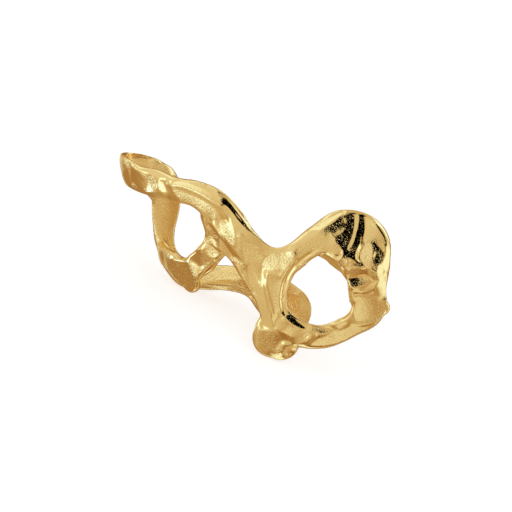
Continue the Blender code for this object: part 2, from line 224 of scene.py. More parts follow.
# Flats that meet in soft ridges: how far each is turned to the right and tipped up, how grainy it is, and
# its outline in the front view; a later flat covers an earlier one
RIGHT_LOBE_FLATS = (
    Flat(46, 4, 0.0, (
        (12.0, 3.2), (12.75, 2.6), (13.3, 1.5), (13.5, 0.2), (13.2, -1.0), (12.9, -0.4), (13.05, 0.6),
        (12.85, 1.8), (12.3, 2.6),
    )),
    Flat(6, 42, 0.0, (
        (8.9, 4.62), (10.0, 4.6), (11.0, 4.25), (11.9, 3.55), (11.7, 3.4), (10.9, 4.0), (9.9, 4.3),
        (8.9, 4.35),
    )),
    Flat(44, 6, 0.12, ((12.1, -1.0), (12.7, -1.0), (12.8, -1.7), (12.3, -2.2), (12.1, -1.7))),
    Flat(-14, 12, 0.06, ((7.4, 2.3), (7.8, 1.9), (8.05, 1.3), (7.85, 1.0), (7.45, 1.6), (7.1, 2.2))),
    Flat(-14, 12, 0.06, ((9.2, -0.6), (10.2, -0.7), (10.9, -1.1), (10.3, -1.1), (9.3, -0.95))),
    Flat(0, 38, 0.0, ((6.1, 2.9), (7.2, 3.55), (8.4, 4.25), (8.8, 4.2), (7.75, 3.5), (6.6, 2.75))),
    Flat(22, 19, 0.16, (
        (6.3, 2.4), (7.1, 3.0), (7.85, 3.5), (8.5, 4.0), (9.3, 4.3), (9.85, 3.8), (9.75, 2.8), (9.3, 1.55),
        (8.8, 0.8), (8.05, 1.25), (7.8, 1.6), (7.95, 2.15), (7.3, 2.4),
    )),
    Flat(-2, 20, 0.12, ((8.7, 3.9), (9.2, 3.65), (9.05, 3.3), (8.7, 3.4))),
    Flat(-2, 20, 0.12, ((7.95, 2.55), (8.85, 2.85), (8.9, 2.55), (8.4, 2.05), (8.05, 2.1))),
    Flat(-2, 20, 0.06, (
        (9.9, 3.9), (10.45, 3.85), (10.3, 2.9), (10.05, 1.9), (9.75, 1.0), (9.3, 0.55), (9.0, 0.9),
        (9.4, 1.55), (9.75, 2.55),
    )),
    Flat(22, 19, 0.05, (
        (10.46, 4.05), (10.85, 4.05), (10.75, 3.1), (10.5, 1.9), (10.2, 1.0), (9.95, 0.3), (9.75, -0.35),
        (8.8, 0.0), (8.6, 0.2), (9.2, 0.45), (9.7, 0.65), (10.0, 1.55), (10.3, 2.8),
    )),
    Flat(-12, 19, 0.12, (
        (10.95, 3.8), (11.75, 3.4), (12.4, 2.65), (12.95, 1.9), (13.2, 1.0), (12.8, 0.7), (12.1, 1.2),
        (11.3, 1.45), (10.65, 1.45), (10.8, 2.55),
    )),
    Flat(-14, 15, 0.36, (
        (10.95, 1.15), (11.6, 1.2), (11.85, 0.45), (11.6, -0.2), (11.95, -0.8), (11.3, -1.1), (10.6, -0.7),
        (10.3, -0.1), (10.4, 0.45),
    )),
    Flat(22, 19, 0.14, (
        (11.65, 1.1), (12.3, 0.95), (12.7, 0.45), (12.85, -0.45), (12.6, -0.9), (12.1, -0.95),
        (12.05, -1.7), (11.2, -1.1), (11.8, -0.8), (12.05, 0.2),
    )),
    Flat(20, -20, 0.18, (
        (9.3, -1.1), (10.4, -1.2), (11.3, -1.55), (11.85, -2.1), (12.05, -2.6), (11.5, -2.4),
        (11.15, -1.95), (10.3, -2.0), (9.4, -2.25),
    )),
    Flat(23, 23, 0.09, (
        (9.4, -2.3), (10.3, -2.0), (11.2, -1.9), (11.35, -2.4), (10.8, -3.0), (9.8, -3.3), (9.4, -3.0),
    )),
    Flat(-15, 9, 0.0, (
        (9.6, -3.4), (10.7, -3.2), (11.45, -2.65), (12.05, -2.45), (12.25, -2.7), (11.55, -3.4),
        (10.4, -3.8), (9.6, -3.7),
    )),
)
RING_FLATS = (
    Flat(10, -16, 0.1, (
        (2.5, -1.9), (3.0, -2.2), (2.75, -3.3), (2.6, -4.7), (2.8, -5.6), (2.3, -5.4), (2.2, -4.4),
        (2.3, -2.9),
    )),
    Flat(30, -14, 0.06, (
        (12.3, -2.4), (12.9, -1.7), (13.15, -2.8), (13.05, -4.1), (12.4, -4.2), (12.1, -3.4),
    )),
    Flat(-48, -38, 0.06, (
        (6.1, -0.05), (6.9, 0.1), (7.9, -0.3), (8.6, -1.2), (8.8, -2.2), (8.55, -1.95), (7.4, -1.2),
        (6.1, -0.35),
    )),
    Flat(22, 19, 0.04, (
        (2.75, -5.8), (3.2, -6.6), (4.4, -7.4), (5.75, -7.8), (6.9, -7.8), (7.9, -7.4), (6.8, -7.3),
        (5.4, -7.25), (4.25, -6.65), (3.25, -5.75),
    )),
    Flat(6, -3, 0.12, (
        (10.0, -3.9), (12.65, -4.3), (13.2, -4.8), (13.4, -5.4), (12.9, -6.0), (11.9, -6.4), (10.65, -6.7),
        (10.0, -6.5), (9.9, -5.15),
    )),
    Flat(5, -4, 0.14, (
        (9.4, -7.2), (10.65, -6.95), (12.0, -6.7), (12.7, -6.2), (11.4, -7.2), (10.15, -7.8), (8.4, -8.65),
        (7.0, -9.0), (5.5, -8.95), (6.4, -8.3), (7.9, -7.8),
    )),
    Flat(-6, 6, 0.06, (
        (2.15, -6.1), (3.0, -6.8), (4.0, -7.4), (5.5, -7.7), (5.15, -8.45), (4.3, -8.8), (3.0, -7.9),
        (2.0, -7.1),
    )),
    Flat(2, 8, 0.21, (
        (4.0, 0.5), (5.9, 1.9), (7.2, 2.1), (7.9, 1.2), (8.5, 0.6), (8.2, 0.15), (6.6, 0.45), (4.5, -0.5),
    )),
)
BAND_FLATS = (
    Flat(2, 4, 0.1, (
        (-0.7, 2.45), (0.4, 1.75), (1.5, 1.15), (2.6, 0.95), (3.4, 1.15), (2.8, 0.3), (1.5, 0.2),
        (0.3, 0.5), (-0.6, 1.5), (-1.1, 2.2),
    )),
    Flat(-6, 38, 0.0, (
        (-8.5, 7.45), (-7.0, 7.2), (-5.7, 6.7), (-4.6, 6.0), (-3.7, 5.25), (-3.75, 5.05), (-4.7, 5.75),
        (-5.8, 6.4), (-7.0, 6.95), (-8.4, 7.2),
    )),
    Flat(4, 28, 0.0, (
        (-8.4, 7.65), (-6.5, 7.35), (-4.85, 6.7), (-3.7, 5.9), (-4.1, 5.55), (-5.85, 6.55), (-7.7, 7.3),
    )),
    Flat(22, 19, 0.02, (
        (-3.65, 5.95), (-3.15, 5.75), (-2.55, 5.05), (-1.8, 4.05), (-1.25, 3.35), (-0.75, 2.6),
        (-0.95, 2.65), (-1.6, 3.4), (-2.1, 3.95), (-2.6, 4.7), (-3.15, 5.4),
    )),
    Flat(46, 34, 0.0, (
        (-3.9, 6.35), (-3.2, 6.1), (-2.4, 5.4), (-1.6, 4.4), (-1.05, 3.7), (-0.45, 2.75), (-0.65, 2.6),
        (-1.25, 3.5), (-1.8, 4.2), (-2.5, 5.15), (-3.15, 5.85), (-3.8, 6.1),
    )),
    Flat(0, 2, 0.0, (
        (-3.95, 5.6), (-3.1, 4.85), (-2.35, 4.05), (-1.6, 3.15), (-0.75, 2.45), (-0.1, 1.3), (-1.0, 1.5),
        (-1.95, 3.2), (-2.6, 4.1), (-3.35, 4.85),
    )),
    Flat(0, -20, 0.06, (
        (-8.1, 7.1), (-5.85, 6.3), (-4.6, 5.6), (-3.35, 4.6), (-2.85, 3.7), (-3.35, 3.6), (-4.2, 4.6),
        (-5.45, 5.45), (-7.1, 6.35), (-8.1, 6.85),
    )),
    Flat(-10, 2, 0.55, (
        (-8.35, 6.95), (-7.35, 6.45), (-6.35, 5.95), (-5.35, 5.35), (-4.6, 4.85), (-4.1, 4.45),
        (-3.95, 3.95), (-4.6, 3.95), (-5.35, 4.6), (-6.45, 5.2), (-7.45, 5.6), (-7.95, 6.2),
    )),
    Flat(-6, -22, 0.06, (
        (-7.45, 5.55), (-6.45, 5.15), (-5.35, 4.5), (-4.55, 3.9), (-4.7, 3.35), (-5.2, 3.75), (-5.85, 4.6),
        (-6.85, 5.05), (-7.6, 5.35),
    )),
    Flat(-15, 8, 0.42, (
        (-3.6, 3.45), (-3.1, 3.2), (-2.45, 2.45), (-2.1, 1.85), (-2.2, 0.95), (-2.6, 1.2), (-3.1, 1.95),
        (-3.55, 2.7),
    )),
    Flat(-4, -14, 0.1, ((-3.75, 1.85), (-3.3, 1.6), (-2.75, 0.6), (-2.4, -0.15), (-3.2, 0.0), (-3.6, 0.7))),
    Flat(8, -14, 0.18, (
        (-1.6, 2.1), (-0.85, 1.6), (0.3, 0.6), (0.4, -2.65), (-0.35, -3.65), (-0.95, -1.75), (-1.35, -0.15),
        (-1.6, 1.1),
    )),
)
LEFT_LOBE_FLATS = (
    Flat(-46, -8, 0.12, (
        (-8.85, -0.4), (-7.6, -0.4), (-6.55, -0.7), (-6.35, -1.7), (-6.0, -2.8), (-6.6, -3.5),
        (-8.1, -2.15), (-8.85, -1.15),
    )),
    Flat(-16, 8, 0.3, (
        (-4.6, 2.1), (-4.2, 1.6), (-3.85, 0.95), (-3.6, 0.2), (-4.1, -0.15), (-4.7, -0.05), (-5.05, 0.85),
        (-4.85, 1.6),
    )),
    Flat(-18, 8, 0.42, (
        (-6.6, -0.6), (-5.95, -0.8), (-5.55, -1.4), (-5.85, -2.05), (-5.7, -2.7), (-5.95, -2.55),
        (-6.45, -1.55), (-6.65, -0.9),
    )),
    Flat(28, -24, 0.0, (
        (-3.6, -0.3), (-4.2, -1.0), (-4.6, -1.75), (-5.4, -2.65), (-5.6, -2.65), (-5.45, -2.0),
        (-4.95, -1.4), (-4.35, -0.7),
    )),
)
CENTRE_FLATS = (
    Flat(26, -20, 0.0, ((3.7, 0.1), (4.0, 0.0), (4.2, -0.2), (4.35, -0.95), (4.1, -1.0), (3.9, -0.3))),
    Flat(-24, -6, 0.12, (
        (0.1, -6.8), (0.5, -7.3), (0.35, -8.6), (0.0, -9.2), (-0.35, -8.6), (-0.35, -7.6),
    )),
    Flat(-15, 9, 0.0, (
        (0.7, -2.5), (1.1, -2.6), (1.4, -4.4), (1.8, -5.7), (1.45, -5.9), (0.95, -4.5), (0.65, -3.3),
    )),
    Flat(-11, 6, 0.36, (
        (0.85, -0.4), (1.65, 0.2), (2.15, -0.05), (2.5, -0.5), (2.4, -1.4), (1.65, -1.5), (1.05, -1.15),
    )),
    Flat(-12, 8, 0.24, (
        (2.3, 0.05), (3.6, 0.35), (3.8, -0.3), (4.05, -0.95), (3.4, -0.8), (3.05, -1.4), (2.6, -1.5),
        (2.35, -0.9),
    )),
    Flat(-20, -14, 0.06, (
        (-0.85, -1.0), (0.05, -2.0), (0.65, -3.25), (0.95, -4.4), (1.4, -5.9), (1.75, -7.15), (0.9, -7.15),
        (0.4, -5.9), (-0.25, -3.5), (-0.85, -2.0),
    )),
    Flat(8, -8, 0.12, (
        (1.15, -1.65), (2.15, -1.9), (2.5, -2.9), (2.4, -4.4), (2.5, -5.4), (1.75, -5.9), (1.45, -4.9),
        (1.2, -3.75), (1.0, -2.9),
    )),
    Flat(-2, -18, 0.22, (
        (0.4, -7.4), (1.65, -7.4), (2.4, -8.55), (2.15, -9.15), (1.65, -9.9), (0.65, -9.15), (0.05, -8.55),
        (0.05, -7.8),
    )),
    Flat(28, -38, 0.24, (
        (2.7, -8.85), (3.65, -9.0), (4.4, -9.3), (3.95, -9.9), (3.25, -10.3), (2.85, -9.9),
    )),
    Flat(-14, 10, 0.12, ((2.1, -8.9), (2.6, -8.8), (2.75, -9.5), (2.4, -9.7))),
    Flat(-6, -40, 0.12, ((1.2, -9.6), (2.3, -9.9), (2.9, -10.2), (2.3, -10.5), (1.6, -10.2))),
    Flat(20, -34, 0.0, ((1.85, -7.25), (2.6, -7.6), (3.4, -8.1), (4.1, -8.85), (3.3, -8.5), (2.5, -8.1))),
)
CUP_FLATS = (
    Flat(-41, 4, 0.0, (
        (-10.85, 7.9), (-10.65, 7.9), (-10.5, 7.1), (-10.2, 6.4), (-11.1, 6.4), (-10.9, 7.1),
    )),
    Flat(-16, 8, 0.12, ((-9.7, 7.4), (-9.3, 7.5), (-9.0, 6.4), (-9.6, 6.5))),
    Flat(-22, 36, 0.0, (
        (-12.3, 9.25), (-11.6, 8.85), (-10.5, 8.45), (-9.2, 8.1), (-9.2, 7.85), (-10.5, 8.2), (-11.7, 8.6),
        (-12.3, 9.0),
    )),
)
FRONT_FLATS = RIGHT_LOBE_FLATS + RING_FLATS + BAND_FLATS + LEFT_LOBE_FLATS + CENTRE_FLATS + CUP_FLATS
BACK_FLATS = (
    Flat(-14, 10, 0.0, (
        (-10.4, 5.2), (-10.2, 5.1), (-10.0, 4.1), (-9.65, 2.5), (-9.85, 2.4), (-10.25, 4.0),
    )),
    Flat(-4, -42, 0.3, (
        (-5.5, -3.05), (-3.9, -3.3), (-1.9, -3.4), (-0.4, -4.05), (-0.6, -3.5), (-1.9, -3.1), (-3.9, -2.9),
        (-5.3, -2.8),
    )),
    Flat(-4, 33, 0.3, (
        (-5.45, -1.9), (-4.1, -1.25), (-2.6, -1.0), (-1.6, -1.65), (-1.0, -2.4), (-3.1, -2.3), (-5.0, -2.6),
    )),
    Flat(8, 10, 0.3, (
        (4.3, -3.4), (5.0, -4.1), (5.5, -5.2), (5.6, -6.2), (5.2, -7.0), (4.2, -7.2), (4.3, -6.2),
        (4.35, -4.4),
    )),
    Flat(4, 14, 0.2, ((2.0, -3.0), (3.5, -2.6), (4.5, -3.3), (4.3, -3.7), (3.2, -3.8), (2.0, -3.8))),
    Flat(PAD_YAW, 0, 0.3, ((1.75, -4.1), (4.25, -4.1), (4.25, -6.1), (1.75, -6.1))),
    Flat(2, 2, 0.16, (
        (-9.9, 6.4), (-7.8, 5.6), (-7.7, 4.1), (-8.3, 2.4), (-7.9, 0.2), (-7.6, -0.6), (-8.9, -0.5),
        (-9.7, 0.9), (-9.85, 3.0),
    )),
    Flat(-6, 44, 0.18, (
        (-13.0, 9.9), (-11.5, 10.0), (-10.2, 9.6), (-9.3, 8.9), (-8.5, 8.0), (-9.6, 7.6), (-11.5, 8.4),
        (-12.8, 9.2),
    )),
)

# How wide a flat's edge is, and its grain's edge
FLAT_EDGE = 0.18
GRAIN_EDGE = 0.6

# How firmly the metal between flats keeps its slopes
LOOSE = 0.10

# How firmly the metal keeps its depth on the front, where it turns away, and past the turn where the back
# starts, and how many rounds the solver has
FRONT_TIE = 0.0006
SIDE_TIE = 0.004
BACK_TIE = 1.0
BACK_TURN = -0.3
SOLVER_ROUNDS = 220

# How far apart the points of a smoothed outline or line are
OUTLINE_SPACING = 0.25

# Ridges and grooves along lines of the front: how wide each is to the left and right of its line, and its
# height, which is less than 0 for a groove
FRONT_FOLDS = (
    Fold(0.18, 0.30, 0.08, (
        (-8.5, 7.2), (-7.3, 7.0), (-5.8, 6.45), (-4.6, 5.7), (-3.3, 4.8), (-2.75, 3.9), (-2.2, 2.6),
        (-2.0, 1.2),
    )),
    Fold(0.20, 0.32, 0.20, ((-3.6, -0.1), (-4.6, -0.9), (-5.3, -1.5), (-5.8, -2.0), (-5.8, -2.8))),
    Fold(0.22, 0.22, -0.30, ((-3.7, -0.55), (-4.5, -1.35), (-5.15, -2.05), (-5.4, -2.8))),
    Fold(0.16, 0.20, 0.10, ((0.9, -2.6), (1.15, -3.9), (1.4, -4.9), (1.65, -5.9))),
    Fold(0.18, 0.20, -0.09, ((9.6, -3.85), (11.0, -3.8), (11.9, -3.4))),
    Fold(0.14, 0.20, 0.08, ((9.7, -6.8), (10.65, -6.85), (11.9, -6.5), (13.0, -5.6))),
    Fold(0.16, 0.16, -0.20, (
        (6.2, 0.75), (4.9, -0.1), (3.9, -0.95), (3.2, -2.0), (2.75, -3.3), (2.65, -4.7), (2.9, -5.9),
    )),
    Fold(0.16, 0.16, -0.20, ((8.6, -1.6), (9.1, -2.9), (9.4, -4.4), (9.4, -5.5), (8.8, -6.2), (7.4, -6.7))),
    Fold(0.12, 0.16, -0.08, ((4.8, -8.2), (5.4, -7.75), (6.2, -7.85))),
    Fold(0.20, 0.20, -0.14, ((-13.0, 9.6), (-12.65, 8.8), (-12.55, 7.8), (-12.3, 7.0))),
)

# How steeply a fold rises along its line, and the share of its height that it has at the line's ends
FOLD_RISE = 8
FOLD_END = 0.25

# Dents of the front, and how sharply a dent's flat floor ends
FRONT_DENTS = (
    Dent(3.4, -9.6, 0.55, 0.40, 30, 0.20),
)
DENT_POWER = 3.0

# The hammered look of the sides and the back, and how sharp the ridges between its hollows are
HOLLOWS = (
    Hollow(2.3, 0.19, 21),
    Hollow(1.1, 0.03, 22),
)
SHARPNESS = 16.0

# Soft waves of the poured metal
WAVES = (
    Wave(3.0, 0.150, 11),
    Wave(1.2, 0.036, 12),
    Wave(0.5, 0.008, 13),
)

# The lattice that noise and hollows are drawn on: its cells each way before it repeats, and where in its
# cell, as shares of its side, a hollow's middle may lie
LATTICE = 32
JITTER = (0.1, 0.9)

# How much of the waves is kept off the flats
FLAT_CALM = 0.85

# Patches of grain between the flats: how wide they are, how grainy, how sharply they start and where
PATCH_LENGTH = 1.4
PATCH_SEED = 31
PATCH_GRAIN = 0.45
PATCH_STEEPNESS = 5.0
PATCH_START = 0.3

# How far one round of melting, or of the last smoothing, moves a point towards its neighbours' mean, and
# how many rounds the last smoothing has
MELT_SHARE = 0.5
LAST_SHARE = 0.5
LAST_ROUNDS = 2

# How much of the waves and hollows is kept off the rims, and how many rounds of blurring find a rim
EDGE_KEEP = 0.75
EDGE_PASSES = 12

# The share of points, in percent, that are less hollow than a full hollow
HOLLOW_PERCENT = 95

# The grain's noise and its pits: their cells to the metre, and how rough, smooth and deep they are
GRAIN_SCALE = 7600.0
GRAIN_DETAIL = 3.0
GRAIN_ROUGHNESS = 0.6
PIT_SCALE = 4600.0
PIT_SMOOTHNESS = 0.5
PIT_DEPTH = 0.6

# Sparse specks that stand out of the grain: the noise at which they start and are full, and their height
SPECK_START = 0.60
SPECK_FULL = 0.70
SPECK_HEIGHT = 0.8

# Grain of the inner faces where no flat gives it
BACK_GRAIN = 0.15

# Painted shade: how hollow a place is where its gold starts to deepen into the shaded gold, where it is
# deepest, and how much an inner face adds to that
SHADE_START = -0.1
SHADE_FULL = 1.6
INNER_SHADE = 0.6

# The room in the front's mirror: each light's middle is where a surface turned so far to the right and
# tipped up so far mirrors it, then the angles from there to where it starts to fade and where it is gone,
# and how much brighter or darker than the room it is
ROOM = 0.60
PANELS = (
    Panel("front window", -16, 8, 10, 22, 0.42),
    Panel("wide glow", -18, 20, 4, 70, 0.16),
    Panel("near glow", 10, -8, 8, 22, 0.32),
    Panel("wide shade", 12, -18, 4, 56, -0.16),
    Panel("left strip", -41, 4, 5, 12, 0.90),
    Panel("left shade", -46, -14, 10, 56, -0.20),
    Panel("top window", -4, 38, 10, 26, 0.24),
    Panel("right window", 42, -2, 12, 30, 0.40),
    Panel("high right window", 50, 34, 10, 30, 0.50),
    Panel("low window", -4, -42, 6, 20, 0.45),
    Panel("low shade", 4, -24, 10, 34, -0.12),
    Panel("far shade", 90, 0, 30, 66, -0.29),
    Panel("back window", -74, 12, 10, 34, 0.40),
    Panel("dark card", 22, 19, 17, 20, -3.0),
)

# The room's light gets warmer as it gets dimmer: red, green and blue are each the light times a gain,
# raised to a power
WARMTH = (Tint(1.0, 1.0), Tint(1.09, 1.68), Tint(1.11, 2.6))

# The floor: half its width in metres, its grid lines each way, its roughness and shine, and what it gives
# off to the camera alone
FLOOR_HALF = 2.0
FLOOR_STEPS = 9
FLOOR_ROUGHNESS = 0.9
FLOOR_SPECULAR = 0.1
FLOOR_GLOW = 0.62

# The camera sees from its distance divided by this to its distance times this
CLIP_SPAN = 100


class CuffShape(bpy.types.PropertyGroup):
    """Sizes of the casting that a user would change."""

    voxel: bpy.props.FloatProperty(
        name="Mesh size", description="Edge length of the fused mesh, in millimetres", default=0.105,
        min=0.08, max=0.4,
    )
    melt: bpy.props.IntProperty(
        name="Melting", description="How often the fused strands are smoothed", default=9, min=0, max=60,
    )
    relief: bpy.props.FloatProperty(
        name="Relief", description="Share of the flats', folds' and dents' full height", default=1.0,
        min=0.0, max=2.0, subtype="FACTOR",
    )
    waves: bpy.props.FloatProperty(
        name="Waves", description="Share of the soft waves' and hollows' full height", default=1.0,
        min=0.0, max=2.0, subtype="FACTOR",
    )


class CuffFinish(bpy.types.PropertyGroup):
    """Colours and gloss of the plated metal, with the deeper gold of its painted shade."""

    gold: bpy.props.FloatVectorProperty(
        name="Gold", description="Colour of the polished plate", default=(1.0, 0.77, 0.34),
        min=0.0, max=1.0, subtype="COLOR", size=3,
    )
    # Painted shade: a deeper gold that stands in for shade and the metal's own reflections in hollows and
    # on the inner faces
    shaded_gold: bpy.props.FloatVectorProperty(
        name="Shaded gold", description="Painted shade of the plate in hollows and on inner faces", default=(0.97, 0.62, 0.20),
        min=0.0, max=1.0, subtype="COLOR", size=3,
    )
    roughness: bpy.props.FloatProperty(
        name="Roughness", description="Roughness of the polished crests", default=0.07, min=0.0, max=1.0,
        subtype="FACTOR",
    )
    dull_roughness: bpy.props.FloatProperty(
        name="Dull roughness", description="Roughness of the inner faces", default=0.26, min=0.0, max=1.0,
        subtype="FACTOR",
    )
    grain: bpy.props.FloatProperty(
        name="Grain", description="Depth of the cast grain", default=0.0001, unit="LENGTH", precision=6,
    )


class CuffStudio(bpy.types.PropertyGroup):
    """The camera, the floor and the light."""

    lens: bpy.props.FloatProperty(
        name="Lens", description="Focal length of the camera, in millimetres", default=500.0,
        min=20.0, max=2000.0, unit="CAMERA",
    )
    frame_width: bpy.props.FloatProperty(
        name="Frame width", description="How much of the cuff's plane the picture spans", default=0.0512,
        unit="LENGTH", precision=5,
    )
    floor: bpy.props.FloatVectorProperty(
        name="Floor", description="Colour of the pale floor", default=(0.72, 0.72, 0.72), min=0.0, max=1.0,
        subtype="COLOR", size=3,
    )
    glow: bpy.props.FloatProperty(
        name="Room light", description="Strength of the white room's light", default=1.0, min=0.0, max=5.0,
    )


def rest_turn():
    """The rotation from the front view's frame to the frame at rest.

    The table's upward direction, seen from the front, is (tan roll, 1, tan lean) made a unit. X is the
    front's across direction made level, and Y is upward crossed with X.
    """
    upward = Vector((math.tan(math.radians(REST_ROLL)), 1, math.tan(math.radians(REST_LEAN)))).normalized()
    right = Vector((1, 0, 0))
    right = (right - right.dot(upward) * upward).normalized()
    return np.array((right, upward.cross(right), upward))


def unit(rows):
    """Each row divided by its length."""
    return rows / np.linalg.norm(rows, axis=-1, keepdims=True)


def smooth_path(knots, closed, spacing):
    """Rows read at even spacing from a smooth curve through all columns of the knots.

    Between two knots the curve is the cubic whose slope at each is half the difference of its two
    neighbours.
    """
    knots = np.array(knots, float)
    spans = len(knots) if closed else len(knots) - 1
    if closed:
        padded = np.vstack([knots[-1], knots, knots[:2]])
    else:
        padded = np.vstack([2 * knots[0] - knots[1], knots, 2 * knots[-1] - knots[-2]])
    rows = []
    for span in range(spans):
        before, start, end, after = padded[span : span + 4]
        steps = max(2, round(np.linalg.norm((end - start)[:3]) / spacing))
        t = np.arange(steps)[:, None] / steps
        rows.append(
            start
            + 0.5 * t * (end - before)
            + t**2 * (before - 2.5 * start + 2 * end - 0.5 * after)
            + t**3 * (1.5 * (start - end) + 0.5 * (after - before))
        )
    if not closed:
        rows.append(knots[-1:])
    return np.vstack(rows)


def round_end(last, inward):
    """Sections beyond a strand's end that close it as a half circle.

    At each angle the section lies out by the half width times the sine, its width shrinks by the cosine,
    and its wall by the cosine's square root.
    """
    turns = np.radians(END_TURNS)
    rows = np.repeat(last[None], len(turns), axis=0)
    rows[:, :3] += unit(last[:3] - inward[:3]) * last[3] * np.sin(turns)[:, None]
    rows[:, 3] *= np.cos(turns)
    rows[:, 4] *= np.sqrt(np.cos(turns))
    return rows


def strand(stations, closed):
    """Points and faces of a strand: a superellipse of its width and wall, carried along its smoothed path.

    At section angle u the superellipse is the half width times the signed power of cos u sideways, and
    half the wall times the same power of sin u outwards. Outwards is the direction (yaw, pitch) made
    square to the path.
    """
    path = smooth_path(stations, closed, SECTION_SPACING)
    if closed:
        centre = path[:, :3]
        along = unit(np.roll(centre, -1, axis=0) - np.roll(centre, 1, axis=0))
    else:
        path = np.vstack([round_end(path[0], path[1])[::-1], path, round_end(path[-1], path[-2])])
        centre = path[:, :3]
        along = unit(np.gradient(centre, axis=0))
    yaw, pitch = np.radians(path[:, 5]), np.radians(path[:, 6])
    outer = np.stack([np.sin(yaw) * np.cos(pitch), np.sin(pitch), np.cos(yaw) * np.cos(pitch)], axis=-1)
    outer = unit(outer - (outer * along).sum(axis=1, keepdims=True) * along)
    side = np.cross(along, outer)
    turn = np.linspace(0, 2 * math.pi, SECTION_POINTS, endpoint=False)
    wide = np.sign(np.cos(turn)) * np.abs(np.cos(turn)) ** (2 / EDGE_ROUNDING)
    thick = np.sign(np.sin(turn)) * np.abs(np.sin(turn)) ** (2 / EDGE_ROUNDING)
    rings = (
        centre[:, None]
        + side[:, None] * (path[:, 3, None] * wide)[:, :, None]
        + outer[:, None] * (path[:, 4, None] / 2 * thick)[:, :, None]
    )
    index = np.arange(len(rings) * SECTION_POINTS).reshape(-1, SECTION_POINTS)
    onward = np.roll(index, -1, axis=0) if closed else index[1:]
    here = index if closed else index[:-1]
    quads = np.stack([here, np.roll(here, -1, axis=1), np.roll(onward, -1, axis=1), onward], axis=-1)
    faces = quads.reshape(-1, 4).tolist()
    if not closed:
        faces += [index[0][::-1].tolist(), index[-1].tolist()]
    return rings.reshape(-1, 3), faces


def fused_strands(voxel, melt):
    """One closed mesh round all the strands, in millimetres: joined, remeshed by voxels and smoothed."""
    points, faces, start = [], [], 0
    for stations, closed in STRANDS:
        rings, quads = strand(stations, closed)
        points.append(rings)
        faces += [[start + i for i in face] for face in quads]
        start += len(rings)
    joined = bpy.data.meshes.new("strands")
    joined.from_pydata(np.vstack(points).tolist(), [], faces)
    body = bpy.data.objects.new("strands", joined)
    bpy.context.scene.collection.objects.link(body)
    remesh = body.modifiers.new("fuse", "REMESH")
    remesh.mode = "VOXEL"
    remesh.voxel_size = voxel
    smooth = body.modifiers.new("melt", "SMOOTH")
    smooth.factor = MELT_SHARE
    smooth.iterations = melt
    graph = bpy.context.evaluated_depsgraph_get()
    mesh = bpy.data.meshes.new_from_object(body.evaluated_get(graph), depsgraph=graph)
    bpy.data.objects.remove(body, do_unlink=True)
    bpy.data.meshes.remove(joined)
    return mesh


def column(items, name, width):
    """One attribute of a mesh's elements as an array with that many columns."""
    flat = np.empty(len(items) * width)
    items.foreach_get(name, flat)
    return flat.reshape(-1, width) if width > 1 else flat


def normals_of(mesh, points):
    """The mesh's point normals once its points are moved there."""
    mesh.vertices.foreach_set("co", points.ravel())
    mesh.update()
    return column(mesh.vertices, "normal", 3)


def line_reach(spots, line):
    """Distance to a smoothed line, which side of it a spot lies on (1 left), and the share along it.

    The line is a chain of short straight pieces. A spot's foot on each piece is its projection kept
    between the piece's ends, and the nearest foot counts.
    """
    chain = smooth_path(np.column_stack([line, np.zeros(len(line))]), False, OUTLINE_SPACING)[:, :2]
    nearest = np.full(len(spots), np.inf)
    side = np.ones(len(spots))
    share = np.zeros(len(spots))
    for number, (start, end) in enumerate(zip(chain[:-1], chain[1:])):
        piece = end - start
        offset = spots - start
        along = np.clip(offset @ piece / (piece @ piece), 0, 1)
        away = np.linalg.norm(offset - along[:, None] * piece, axis=1)
        closer = away < nearest
        nearest[closer] = away[closer]
        cross = piece[0] * offset[:, 1] - piece[1] * offset[:, 0]
        side[closer] = np.sign(cross[closer])
        share[closer] = (number + along[closer]) / (len(chain) - 1)
    return nearest, side, share


def fold_lift(spots, folds):
    """Height of the folds at each spot.

    A fold is its height times exp(-(distance over width)^2), with its own width on each side of its line,
    and it dies out towards the line's ends.
    """
    lift = np.zeros(len(spots))
    for fold in folds:
        nearest, side, share = line_reach(spots, fold.points)
        width = np.where(side > 0, fold.left, fold.right)
        fade = np.clip(FOLD_RISE * np.minimum(share, 1 - share) + FOLD_END, 0, 1)
        lift += fold.height * fade * np.exp(-((nearest / width) ** 2))
    return lift


def dent_lift(spots, dents):
    """Height of the dents at each spot.

    A dent is minus its depth times exp(-r^power), where r is 0 in its middle and 1 on its ellipse.
    """
    lift = np.zeros(len(spots))
    for dent in dents:
        away = spots - (dent.across, dent.up)
        turn = math.radians(dent.turn)
        along = away @ (math.cos(turn), math.sin(turn)) / dent.long_radius
        beside = away @ (-math.sin(turn), math.cos(turn)) / dent.short_radius
        lift -= dent.depth * np.exp(-(np.hypot(along, beside) ** DENT_POWER))
    return lift


def noise(points, length, seed):
    """Gradient noise with features of that length.

    Each corner of a cubic lattice has a random slope. A point's value is the sum over its cell's corners
    of the corner's slope times the way to the point, weighted by the step 6t^5 - 15t^4 + 10t^3 along each
    axis.
    """
    slopes = unit(np.random.default_rng(seed).normal(size=(LATTICE, LATTICE, LATTICE, 3)))
    scaled = points / length
    base = np.floor(scaled).astype(int)
    part = scaled - base
    ease = part**3 * (part * (part * 6 - 15) + 10)
    total = np.zeros(len(points))
    for corner in np.ndindex(2, 2, 2):
        corner = np.array(corner)
        cell = (base + corner) % LATTICE
        slope = slopes[cell[:, 0], cell[:, 1], cell[:, 2]]
        weight = np.prod(np.where(corner, ease, 1 - ease), axis=1)
        total += weight * ((part - corner) * slope).sum(axis=1)
    return total


